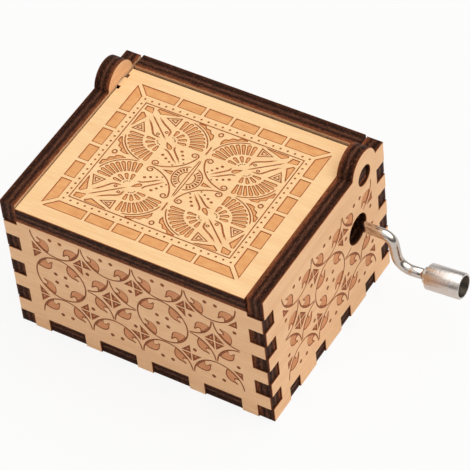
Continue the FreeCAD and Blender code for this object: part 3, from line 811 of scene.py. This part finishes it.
def carve(name, cuts, face, floor, scored=groove):
    """Makes an engraved board, in the finishes of its face, its skimmed floors and its scored lines."""
    values = {
        "Cuts": cuts,
        "Ply": ply,
        "Birch": face,
        "Edge": edge_wood,
        "Floor": floor,
        "Groove": scored,
    }
    mesh = run_tree(name, carve_tree, values, cut_edges(name))
    # The shells came without a material, which leaves an empty slot.
    for number in reversed(range(len(mesh.materials))):
        if mesh.materials[number] is None:
            mesh.materials.pop(index=number)
    whole = bmesh.new()
    whole.from_mesh(mesh)
    bmesh.ops.recalc_face_normals(whole, faces=whole.faces)
    whole.to_mesh(mesh)
    whole.free()
    finish_board(name, mesh)


# The lattice is drawn in square cells, each as wide as one circle, and stretched a little upwards.
cell = 12.65
cell_radius = cell / 2
lattice_stretch = 1.036
circle_line = cell_radius - 0.2
leaf_outline = arc((0, 0), circle_line - 0.2, 31, 67, 10) + [
    (2.06, 4.95),
    (1.88, 4.3),
    (1.84, 3.6),
    (1.94, 2.95),
    (2.28, 2.38),
    (2.8, 2.0),
    (3.4, 1.8),
    (4.0, 1.72),
    (4.52, 1.5),
    (4.72, 1.66),
    (4.6, 2.0),
    (4.22, 2.3),
    (3.96, 2.66),
    (4.1, 3.04),
    (4.56, 3.16),
]
square_piece = [(-0.17, -0.17), (-0.17, -2.45), (-2.45, -0.17)]
piece_rise = 0.45
dot_radius = 0.5
line_step = 5
line_margin = 0.2


def on_circle(centre, radius, angle):
    """One point on a circle."""
    return arc(centre, radius, angle, angle, 2)[0]


def lattice(name, cells, star_first, middle, hole=None):
    """A wall's lattice: the number of cells in a row, its middle, and a round hole that cuts it off."""
    paths, circles, leaves, dots, pieces = [], [], [], [], []

    def clear(point):
        """Whether a point lies clear of the hole."""
        return hole is None or math.dist(point, hole[0]) > hole[1] + line_margin

    def place(points, centre, turn):
        """Points turned about a cell's centre and laid in the stretched lattice."""
        c, s = math.cos(math.radians(turn)), math.sin(math.radians(turn))
        turned = [(centre[0] + x * c - y * s, centre[1] + x * s + y * c) for x, y in points]
        return [(middle[0] + x, middle[1] + y * lattice_stretch) for x, y in turned]

    def add(group, points, centre, turn, rise=0.0):
        """Adds a shape to its group, unless the hole cuts it."""
        placed = [(x, y + rise) for x, y in place(points, centre, turn)]
        if all(clear(point) for point in placed):
            group.append(placed)

    def round_line(centre, start, end):
        """Adds a circle or a part of one, cut off where it meets the hole."""
        whole = end - start == 360
        steps = (end - start) // line_step
        last, count = (end - line_step, steps) if whole else (end, steps + 1)
        points = place(arc((0, 0), circle_line, start, last, count), centre, 0)
        shut_out = [number for number, point in enumerate(points) if not clear(point)]
        if whole and not shut_out:
            circles.append(points)
        elif shut_out and whole:
            paths.append(points[shut_out[-1] + 1 :] + points[: shut_out[0]])
        elif shut_out:
            runs = (points[: shut_out[0]], points[shut_out[-1] + 1 :])
            paths.extend(run for run in runs if len(run) > 2)
        else:
            paths.append(points)

    def quarter(centre, turn, in_star=False):
        """Adds what a quarter of a circle or a star holds: a leaf, a dot, and by a circle a triangle."""
        add(leaves, leaf_outline, centre, turn)
        near = 1.0 if in_star else 1.25
        add(dots, [(near, near)], centre, turn)
        if not in_star:
            rise = piece_rise if centre[1] > 0 or (centre[1] == 0 and turn < 180) else -piece_rise
            add(pieces, [(cell_radius + x, cell_radius + y) for x, y in square_piece], centre, turn, rise)

    for k in range(cells):
        x = (k - (cells - 1) / 2) * cell
        round_line((x, -cell), 0, 180)
        round_line((x, cell), 180, 360)
        for turn in (0, 90):
            quarter((x, -cell), turn)
            quarter((x, cell), turn + 180)
        if (k % 2 == 0) != star_first:
            round_line((x, 0), 0, 360)
        for turn in (0, 90, 180, 270):
            if (k % 2 == 0) == star_first:
                corner = on_circle((x, 0), cell_radius * math.sqrt(2), turn + 45)
                round_line(corner, turn + 180, turn + 270)
                quarter(corner, turn + 180, in_star=True)
                add(pieces, square_piece, (x, 0), turn)
            else:
                quarter((x, 0), turn)
    return gather(
        name,
        [
            lines(name + "_lines", paths, circles, width=0.36, taper=0.015),
            pockets(name + "_leaves", leaves),
            pits(name + "_dots", [(dot[0], dot_radius) for dot in dots]),
            pockets(name + "_pieces", pieces, 0.5),
        ],
    )


crank_hole = ((12.8, 22.75), 3.65)
for wall, *layout in (
    ("front_panel", 4, False, (0.2, 19.55)),
    ("back_panel", 4, False, (-0.2, 19.55)),
    ("left_panel", 3, True, (-0.4, 19.1)),
    ("right_panel", 3, True, (0.4, 19.1), crank_hole),
):
    carve(wall, lattice(wall + "_lattice", *layout), birch, toasted)


# ---------------------------------------------------------------- lid
# A board of the same plywood that turns on two square tabs, in round holes of the side walls. It is
# engraved with a border of blocks, a strip of dots, and a panel of four rosettes round a small sun.
lid_birch = birch_face("lid_birch_face", colour(255, 217, 163), colour(242, 191, 134))
lid_toasted = engraved_floor("lid_toasted_floor", colour(250, 190, 124), colour(210, 134, 72))
lid_groove = scored_line("lid_scored_line", colour(192, 110, 52), colour(146, 80, 36))
lid_middle = Matrix.Translation((0, -2, 0))
border_outer, border_inner = (24.1, 19.95), (21.4, 17.3)
mitre_gap = 0.57
blocks = 4
block_wide, block_high = 3.0, 2.35
block_pitch_wide, block_pitch_high = 6.65, 5.45
row_band, side_band = border_outer[1] - border_inner[1], border_outer[0] - border_inner[0]
four_ways = [Matrix.Diagonal((x, y, 1, 1)) for x in (1, -1) for y in (1, -1)]
two_ways = four_ways[::3]


def block(left, low, right, high):
    """A rectangle's outline."""
    return [(left, low), (right, low), (right, high), (left, high)]


# Repeating tree: a row or a ring of one cut.
repeat_tree, given = new_tree(
    "repeat_cut",
    {
        "Cut": "Object",
        "Count": "Int",
        "Start": "Vector",
        "Step": "Vector",
        "Radius": "Float",
        "First": "Float",
        "Turn": "Float",
    },
)
wire = given["Geometry"]
number = wire.node("GeometryNodeInputIndex")
angle = number * given["Turn"] + given["First"]
stride = {"Vector": given["Step"], "Scale": number}
along = wire.node("ShaderNodeVectorMath", {"operation": "SCALE"}, stride)
around = wire.node(
    "ShaderNodeCombineXYZ",
    {},
    {"X": given["Radius"] * wire.math("COSINE", angle), "Y": given["Radius"] * wire.math("SINE", angle)},
)
place = wire.node("ShaderNodeVectorMath", {"operation": "ADD"}, {0: along, 1: around})
place = wire.node("ShaderNodeVectorMath", {"operation": "ADD"}, {0: place, 1: given["Start"]})
points = wire.node("GeometryNodeMeshLine", {}, {"Count": given["Count"], "Offset": (0, 0, 0)})
points = wire.node("GeometryNodeSetPosition", {}, {"Geometry": points, "Position": place})
turned = wire.node("ShaderNodeCombineXYZ", {}, {"Z": angle})
cuts = wire.node(
    "GeometryNodeInstanceOnPoints",
    {},
    {
        "Points": points,
        "Instance": wire.node("GeometryNodeObjectInfo", {}, {"Object": given["Cut"]}, out="Geometry"),
        "Rotation": wire.node("FunctionNodeEulerToRotation", {}, {"Euler": turned}),
    },
)
cuts = wire.node("GeometryNodeRealizeInstances", {}, {"Geometry": cuts})
cuts = wire.node("GeometryNodeSetMaterial", {}, {"Geometry": cuts, "Material": groove})
wire.node("NodeGroupOutput", {}, {"Geometry": cuts})


def repeat(cut, count, start=(0, 0), step=(0, 0), radius=0.0, first=0.0, turn=0.0):
    """A row or a ring of one cut, with its angles in degrees. In a ring the cuts point outwards."""
    values = {
        "Cut": cut,
        "Count": count,
        "Start": (*start, 0.0),
        "Step": (*step, 0.0),
        "Radius": float(radius),
        "First": math.radians(first),
        "Turn": math.radians(turn),
    }
    return bpy.data.objects.new(cut.name, run_tree(cut.name + "_row", repeat_tree, values))


row_block = pockets("row_block", [block(-block_wide, 0, block_wide, row_band)])
side_block = pockets("side_block", [block(0, -block_high, side_band, block_high)])
row_end = blocks / 2 * block_pitch_wide + (block_pitch_wide / 2 - block_wide)
side_end = blocks / 2 * block_pitch_high + (block_pitch_high / 2 - block_high)
corner_blocks = pockets(
    "corner_blocks",
    [
        [
            (row_end, border_inner[1]),
            (border_inner[0] - mitre_gap, border_inner[1]),
            (border_outer[0] - mitre_gap, border_outer[1]),
            (row_end, border_outer[1]),
        ],
        [
            (border_inner[0], side_end),
            (border_outer[0], side_end),
            (border_outer[0], border_outer[1] - mitre_gap),
            (border_inner[0], border_inner[1] - mitre_gap),
        ],
    ],
)
border_dot = pits("border_dot", [((0, 0), 0.27)])
strip = (20.4, 16.28)
row_dots, side_dots = 24, 22
row_pitch, side_pitch = 2 * strip[0] / (row_dots - 1), 2 * strip[1] / (side_dots - 1)
first_in_row = ((1 - blocks) / 2 * block_pitch_wide, border_inner[1])
first_at_side = (border_inner[0], (1 - blocks) / 2 * block_pitch_high)
border = gather(
    "border",
    [
        repeat(row_block, blocks, start=first_in_row, step=(block_pitch_wide, 0)),
        repeat(side_block, blocks, start=first_at_side, step=(0, block_pitch_high)),
        repeat(border_dot, row_dots, start=(-strip[0], strip[1]), step=(row_pitch, 0)),
        repeat(border_dot, side_dots - 2, start=(strip[0], side_pitch - strip[1]), step=(0, side_pitch)),
    ],
    two_ways,
)

# One side of a rosette is drawn in a circle and mirrored across the slanting axis that points at the lid's
# corner. Then the whole is stretched to fill its quarter of the panel.
across = [Matrix.Identity(4), Matrix(((0, 1, 0, 0), (1, 0, 0, 0), (0, 0, 1, 0), (0, 0, 0, 1)))]
rosette_middle = (9.7, 7.5)
rosette_stretch = (1.1, 0.9)
fan_middle = (0.5, -0.6)
petal_groove = 0.22
shape_groove = 0.26


def petal(name, inner, outer, inner_half, outer_half):
    """A petal that points along the first axis, narrow at its inner end and round at its outer one."""
    tip = arc((outer - outer_half, 0), outer_half, -90, 90, 7)
    return pockets(name, [[(inner, -inner_half), *tip, (inner, inner_half)]], petal_groove)


def axial(t, n):
    """A point by its place along the rosette's slanting axis and its distance from it."""
    return ((t + n) / math.sqrt(2), (t - n) / math.sqrt(2))


rim_radius, rim_end = 8.1, 190
curl_radius, curl_turns, curl_shrink, curl_steps = 0.85, 1.4, 0.8, 22


def curl(end_angle):
    """The spiral in which the rosette's rim ends: it rolls inwards from the rim's end without a kink."""
    middle = on_circle((0, 0), rim_radius - curl_radius, end_angle)
    points = []
    for step in range(1, curl_steps + 1):
        share = step / curl_steps
        radius = curl_radius * (1 - curl_shrink * share)
        points.append(on_circle(middle, radius, end_angle - share * curl_turns * 360))
    return points


rim_line = arc((0, 0), rim_radius, 225, rim_end, 10) + curl(rim_end)
rim_line = [(y, x) for x, y in rim_line[:0:-1]] + rim_line
fan = [
    repeat(petal("long_petal", 4.1, 7.25, 0.25, 0.47), 9, start=fan_middle, first=-85.5, turn=10.15),
    repeat(petal("short_petal", 1.6, 3.55, 0.22, 0.44), 4, start=fan_middle, first=-84, turn=26.5),
    repeat(pits("fan_pit", [((1.08, 0), 0.165)]), 4, start=fan_middle, first=-81, turn=24),
]
side_shapes = pockets(
    "side_shapes",
    [
        [(8.5, 0.7), (8.5, 5.75), (7.95, 6.0), (6.9, 4.8), (7.3, 3.8), (7.75, 2.6), (8.1, 1.4)],
        [
            *arc(fan_middle, 8.12, -61, -19, 10),
            (8.62, -3.4),
            (8.62, -4.9),
            (7.85, -5.35),
            (7.75, -6.35),
            (6.8, -6.9),
            (6.7, -7.6),
            (5.5, -7.95),
        ],
    ],
    shape_groove,
)
flank = [(1.1, 0.75), (1.7, 1.25), (2.4, 1.8), (3.0, 1.84)]
flank += [(4.1, 1.6), (5.0, 1.38), (6.3, 1.22), (7.6, 1.15)]
stem = [(-7.55, 0.32), (-6.05, 0.5), (-4.15, 0.58), (-3.1, 0.7), (-2.55, 0.98), (-2.2, 1.4)]
triangles = [[(7.85, 0.25), (5.15, 0.35), (6.6, 3.05)], [(7.15, 0.78), (6.0, 0.84), (6.6, 2.0)]]
side_lines = gather(
    "side_lines",
    [
        lines("fan_rim", [arc(fan_middle, 7.66, -80, -12, 20)], taper=0.03),
        lines("flanks", [[axial(t, n) for t, n in flank]], width=0.42, taper=0.05),
        lines("stems", [[axial(t, n) for t, n in stem]], width=0.4, taper=0.02),
        lines("triangles", [], triangles, width=0.56),
        lines("flank_ring", [], [arc(axial(2.5, 0.95), 0.3, 0, 330, 12)], width=0.28),
    ],
)
axis_shapes = pockets(
    "axis_shapes",
    [
        [(8.45, 8.2), (6.75, 8.2), (6.3, 6.4), (6.4, 6.3), (8.45, 6.75)],
        [axial(t, n) for t, n in ((-0.3, 0), (-1.4, 0.45), (-2.1, 0.56), (-2.6, 0.44), (-2.9, 0))]
        + [axial(t, -n) for t, n in ((-2.6, 0.44), (-2.1, 0.56), (-1.4, 0.45))],
    ],
    shape_groove,
)


def straight(start, end, count=9):
    """Points on a straight line."""
    return [tuple(a + (b - a) * k / (count - 1) for a, b in zip(start, end)) for k in range(count)]


axis_line = straight(axial(0.3, 0), axial(8.7, 0))
axis_lines = lines("axis_lines", [rim_line, axis_line], width=0.34, taper=0.03)
pit_row = ((-4.0, 2.05, 0.36), (-5.2, 1.8, 0.33), (-6.4, 1.5, 0.28), (-7.5, 1.2, 0.22))
side_pits = pits("side_pits", [(axial(t, n), radius) for t, n, radius in pit_row])
rosette = gather(
    "rosette",
    [
        gather("rosette_sides", [*fan, side_shapes, side_lines, side_pits], across),
        axis_lines,
        axis_shapes,
    ],
    [Matrix.Translation((*rosette_middle, 0)) @ Matrix.Diagonal((*rosette_stretch, 1, 1))],
)

# The sun in the middle has two rings with rays between them, an eye like a spindle, and two broad blades.
ray = pockets("ray", [[(2.1, -0.15), (3.0, -0.24), (3.0, 0.24), (2.1, 0.15)]])
wide_blade = [(3.68, -0.62), (3.68, 0.62), (6.1, 0)]
sun_rings = [arc((0, 0), radius, gap - 90, 90 - gap, 31) for radius, gap in ((3.3, 11.5), (1.8, 21))]
spindle_gap, spindle_swell, spindle_reach, spindle_steps = 0.14, 0.22, 5.9, 20
spindle_side = []
for step in range(spindle_steps + 1):
    share = step / spindle_steps
    swell = spindle_swell * math.cos(share * math.pi - math.pi / 2)
    spindle_side.append((spindle_gap + swell, spindle_reach * (share * 2 - 1)))
half_sun = gather(
    "half_sun",
    [
        repeat(ray, 9, first=-60, turn=15),
        lines("sun_rings", sun_rings, taper=0.02),
        lines("spindle", [spindle_side], width=0.26, taper=0.04),
        pockets("wide_blade", [wide_blade]),
    ],
    two_ways,
)
frame_line = [(19.6, 15.4), (-19.6, 15.4), (-19.6, -15.4), (19.6, -15.4)]
edge_rings = [arc(centre, 0.5, 0, 330, 12) for centre in ((17.95, 0), (0, 14.1))]
edge_rings += [[(-x, -y) for x, y in ring] for ring in edge_rings]
ticks = [straight((0, side * 7.5), (0, side * 10.4)) for side in (1, -1)]
lid_drawing = gather(
    "lid_drawing",
    [
        border,
        gather("corners", [corner_blocks, rosette], four_ways),
        half_sun,
        lines("edge_rings", [], edge_rings, width=0.36),
        lines("frame_and_ticks", ticks, [frame_line], width=0.4),
    ],
    [lid_middle],
)
carve("lid", lid_drawing, lid_birch, lid_toasted, lid_groove)


# ---------------------------------------------------------------- crank
# A steel rod bent twice and nickel-plated, which turns in the two bushes. A brass worm is pressed on its
# inner end and drives the drum's wheel.
nickel = metal(
    "polished_nickel", colour(216, 207, 199), colour(200, 190, 181),
    rough=(0.1, 0.18), grain=(3, 3, 3), bump=0.05,
)
dress("worm", brass)
dress("crank", nickel)


# ---------------------------------------------------------------- grip
# A turned and plated tube that spins on the crank's outer end. A washer at the rod's shoulder and another
# under its peened end keep it there.
turned_nickel = metal(
    "turned_nickel", colour(226, 218, 212), colour(206, 198, 192),
    rough=(0.04, 0.08), grain=(13, 0.02, 0.02), bump=1.0, ridge=0.08,
)
# The bore's metal is bare steel, painted darker still as the shade inside the tube.
bare_bore = metal(
    "bare_bore", colour(96, 88, 78), colour(52, 46, 40),
    rough=(0.3, 0.5), grain=(3, 3, 3), bump=0.3,
)
dress("grip_washer", nickel)
dress("knob_end_washer", nickel)
sleeve = dress("knob_sleeve", turned_nickel)
sleeve.data.materials.append(bare_bore)
knob_low, knob_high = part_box("knob_sleeve")
knob_middle = (knob_low + knob_high) / 2
# The tube lies nearly along the first axis, so its ends look that way. Its bore is the faces that look at
# the tube's own axis. They take a dark metal that is partly bare steel and partly painted shade inside the
# tube.
for face in sleeve.data.polygons:
    outwards = face.center - knob_middle
    if abs(face.normal.x) < 0.5 and outwards.y * face.normal.y + outwards.z * face.normal.z < 0:
        face.material_index = 1
